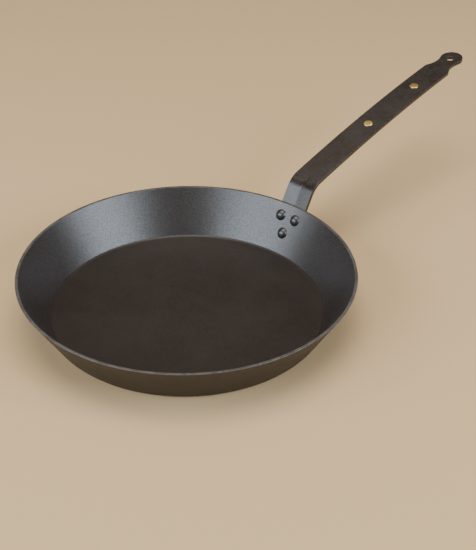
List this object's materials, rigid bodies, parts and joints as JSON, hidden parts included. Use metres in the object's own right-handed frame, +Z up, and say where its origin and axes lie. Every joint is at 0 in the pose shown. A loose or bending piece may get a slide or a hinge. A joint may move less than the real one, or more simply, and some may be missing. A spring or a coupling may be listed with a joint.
{
  "type": "frying pan",
  "caption": "Round spun-iron frying pan with a flat base, straight sloping sides and a long riveted strap handle that ends in a hanging eye.",
  "frame": {"origin": "centre of the flat underside of the base, on the pan's axis", "axes": "+Z up along the pan's axis, +X along the handle away from the pan, +Y to the left of a person who looks along +X"},
  "size_m": [0.5846, 0.305, 0.1127],
  "materials": {
    "pan_iron": "oil-seasoned spun sheet iron, satin black-brown with a fine speckle",
    "strap_iron": "oil-seasoned forged bar, satin black-brown",
    "rivet_iron": "seasoned iron, smoother and a little glossier than the pan",
    "brass": "plain polished brass, lightly worn"
  },
  "bodies": {
    "root": {"pan_shell": "pan_iron", "handle": "strap_iron", "pan_rivet_left": "rivet_iron", "pan_rivet_right": "rivet_iron", "pan_rivet_lower": "rivet_iron", "handle_rivet_near": "brass", "handle_rivet_far": "brass"}
  },
  "joints": []
}
